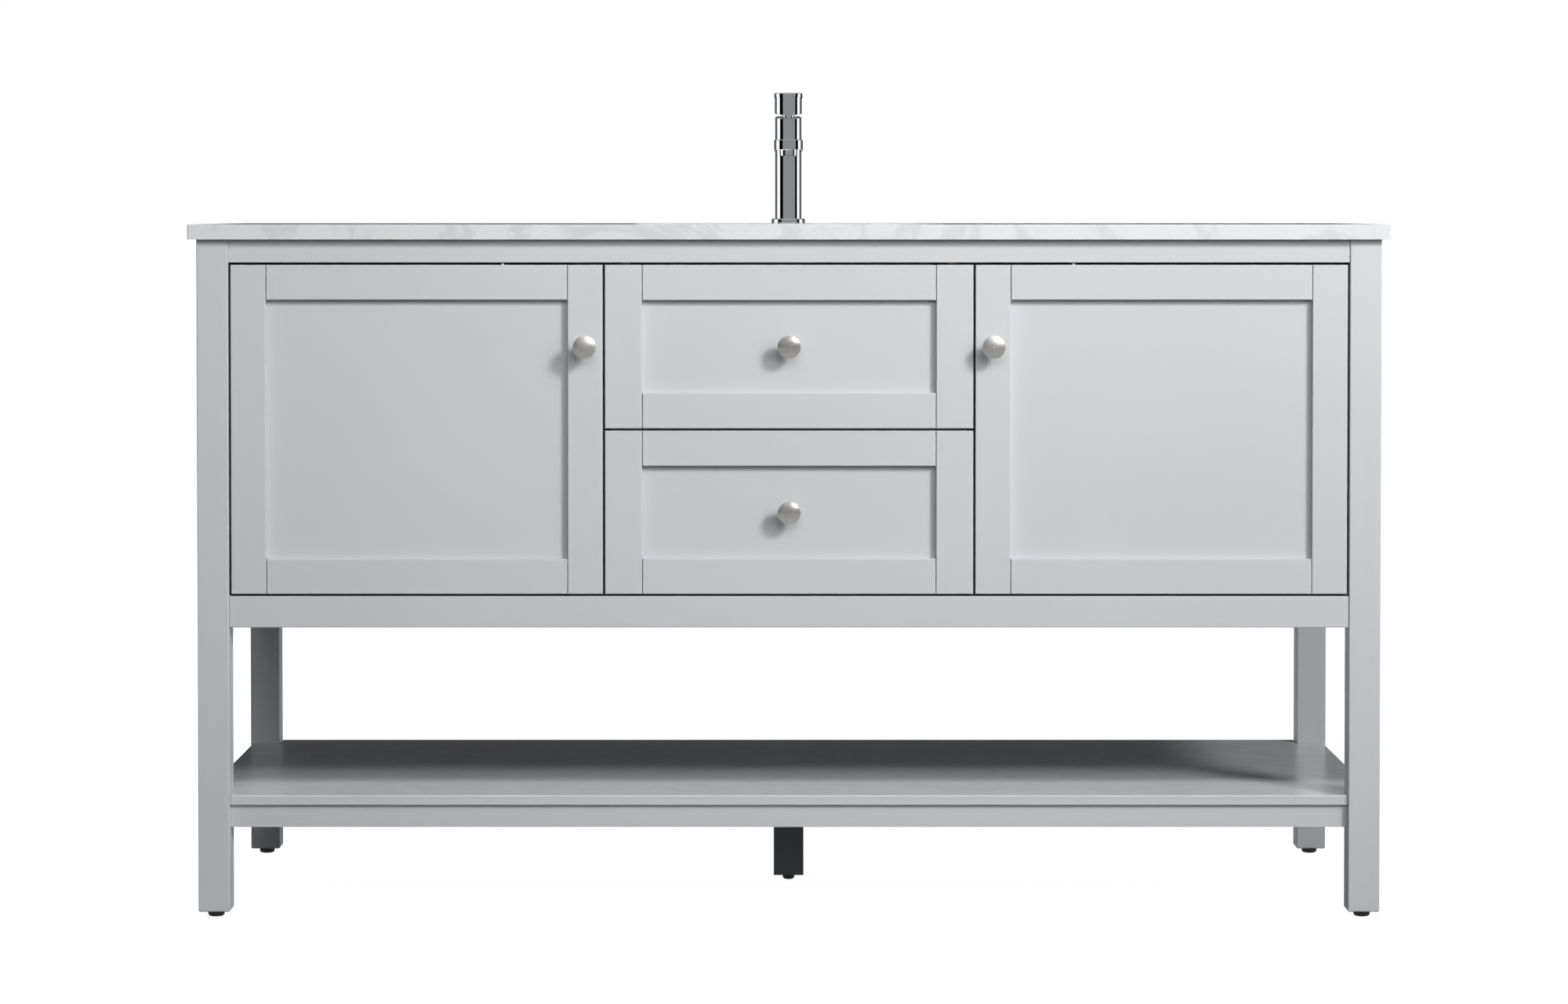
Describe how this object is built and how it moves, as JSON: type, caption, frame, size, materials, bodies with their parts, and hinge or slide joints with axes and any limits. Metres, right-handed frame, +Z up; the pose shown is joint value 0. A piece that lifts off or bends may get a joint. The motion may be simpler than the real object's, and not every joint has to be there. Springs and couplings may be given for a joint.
{
  "type": "bathroom vanity cabinet",
  "caption": "Freestanding vanity: framed cabinet on square legs with an open lower shelf, hinged doors, sliding drawers, a stone top with an undermount basin and a single-lever tap.",
  "frame": {"origin": "on the floor, under the middle of the whole object", "axes": "+X to the right as seen from the front, +Y to the wall, +Z up; the front faces -Y"},
  "size_m": [1.524, 0.573, 1.0613],
  "materials": {
    "grey_paint": "satin cool light grey sprayed paint",
    "shelf_paint": "semi-gloss cool grey paint",
    "black_paint": "matt black paint, in the shade under the shelf",
    "inside_board": "clear lacquered birch plywood",
    "white_stone": "polished white engineered stone with faint grey veins",
    "basin_glaze": "glossy white vitreous china",
    "tap_chrome": "polished chrome",
    "brushed_nickel": "satin brushed nickel",
    "zinc_steel": "bright zinc plated steel",
    "nickel_steel": "nickel plated pressed steel",
    "foot_plastic": "black moulded nylon",
    "brass_parts": "machined brass",
    "gasket_rubber": "black rubber and plastic nut"
  },
  "bodies": {
    "cabinet": {"leg_front_left": "grey_paint", "leg_front_right": "grey_paint", "leg_back_left": "grey_paint", "leg_back_right": "grey_paint", "front_rails": "grey_paint", "back_rails": "grey_paint", "side_rails": "grey_paint", "side_panels": "grey_paint", "cabinet_floor": "inside_board", "partitions": "inside_board", "back_panels": "inside_board", "corner_braces": "inside_board", "slide_channels": "zinc_steel", "lower_shelf": "shelf_paint", "shelf_rails": "grey_paint", "centre_support_leg": "black_paint", "hinge_arms": "nickel_steel", "hinge_packers": "inside_board", "screws_and_inserts": "zinc_steel", "countertop": "white_stone", "basin": "basin_glaze", "overflow_ring": "tap_chrome", "basin_clips": "zinc_steel", "drain_body": "tap_chrome", "drain_nut_and_gasket": "gasket_rubber", "faucet_body": "tap_chrome", "faucet_spout": "tap_chrome", "faucet_aerator": "tap_chrome", "faucet_base_ring": "tap_chrome", "faucet_shank": "brass_parts"},
    "left_door": {"left_door_frame": "grey_paint", "left_door_panel": "grey_paint", "left_door_knob": "brushed_nickel", "left_door_hinge_cups": "nickel_steel"},
    "right_door": {"right_door_frame": "grey_paint", "right_door_panel": "grey_paint", "right_door_knob": "brushed_nickel", "right_door_hinge_cups": "nickel_steel"},
    "upper_drawer": {"upper_drawer_front_frame": "grey_paint", "upper_drawer_front_panel": "grey_paint", "upper_drawer_knob": "brushed_nickel", "upper_drawer_box_walls": "inside_board", "upper_drawer_box_bottom": "inside_board", "upper_slide_runners": "zinc_steel"},
    "upper_slide": {"upper_slide_middles": "zinc_steel"},
    "lower_drawer": {"lower_drawer_front_frame": "grey_paint", "lower_drawer_front_panel": "grey_paint", "lower_drawer_knob": "brushed_nickel", "lower_drawer_box_walls": "inside_board", "lower_drawer_box_bottom": "inside_board", "lower_slide_runners": "zinc_steel"},
    "lower_slide": {"lower_slide_middles": "zinc_steel"},
    "tap_neck": {"faucet_cartridge": "tap_chrome"},
    "tap_lever": {"faucet_lever": "tap_chrome"},
    "stopper": {"drain_stopper": "tap_chrome"},
    "foot_front_left": {"foot_front_left": "foot_plastic"},
    "foot_front_right": {"foot_front_right": "foot_plastic"},
    "foot_back_left": {"foot_back_left": "foot_plastic"},
    "foot_back_right": {"foot_back_right": "foot_plastic"},
    "foot_centre": {"foot_centre": "foot_plastic"}
  },
  "joints": [
    {"name": "left_door_swing", "type": "hinge", "parent": "cabinet", "child": "left_door", "pos_m": [-0.7106, -0.2605, 0.6225], "axis": [0, 0, -1], "range_deg": [0, 105]},
    {"name": "right_door_swing", "type": "hinge", "parent": "cabinet", "child": "right_door", "pos_m": [0.7106, -0.2605, 0.6225], "axis": [0, 0, 1], "range_deg": [0, 105]},
    {"name": "upper_drawer_slide", "type": "slide", "parent": "cabinet", "child": "upper_drawer", "axis": [0, -1, 0], "range_m": [0, 0.38]},
    {"name": "upper_slide_middle_travel", "type": "slide", "parent": "cabinet", "child": "upper_slide", "axis": [0, -1, 0], "range_m": [0, 0.19]},
    {"name": "lower_drawer_slide", "type": "slide", "parent": "cabinet", "child": "lower_drawer", "axis": [0, -1, 0], "range_m": [0, 0.38]},
    {"name": "lower_slide_middle_travel", "type": "slide", "parent": "cabinet", "child": "lower_slide", "axis": [0, -1, 0], "range_m": [0, 0.19]},
    {"name": "tap_swivel", "type": "hinge", "parent": "cabinet", "child": "tap_neck", "pos_m": [0, 0.2095, 1.0301], "axis": [0, 0, 1], "range_deg": [-45, 45]},
    {"name": "tap_lift", "type": "hinge", "parent": "tap_neck", "child": "tap_lever", "pos_m": [0, 0.2095, 1.0405], "axis": [-1, 0, 0], "range_deg": [0, 20]},
    {"name": "stopper_lift", "type": "slide", "parent": "cabinet", "child": "stopper", "axis": [0, 0, 1], "range_m": [0, 0.009]},
    {"name": "foot_front_left_screw", "type": "slide", "parent": "cabinet", "child": "foot_front_left", "axis": [0, 0, -1], "range_m": [0, 0.012]},
    {"name": "foot_front_right_screw", "type": "slide", "parent": "cabinet", "child": "foot_front_right", "axis": [0, 0, -1], "range_m": [0, 0.012]},
    {"name": "foot_back_left_screw", "type": "slide", "parent": "cabinet", "child": "foot_back_left", "axis": [0, 0, -1], "range_m": [0, 0.012]},
    {"name": "foot_back_right_screw", "type": "slide", "parent": "cabinet", "child": "foot_back_right", "axis": [0, 0, -1], "range_m": [0, 0.012]},
    {"name": "foot_centre_screw", "type": "slide", "parent": "cabinet", "child": "foot_centre", "axis": [0, 0, -1], "range_m": [0, 0.012]}
  ],
  "couplings": [
    {"joint": "upper_slide_middle_travel", "follows": "upper_drawer_slide", "ratio": 0.5},
    {"joint": "lower_slide_middle_travel", "follows": "lower_drawer_slide", "ratio": 0.5}
  ]
}
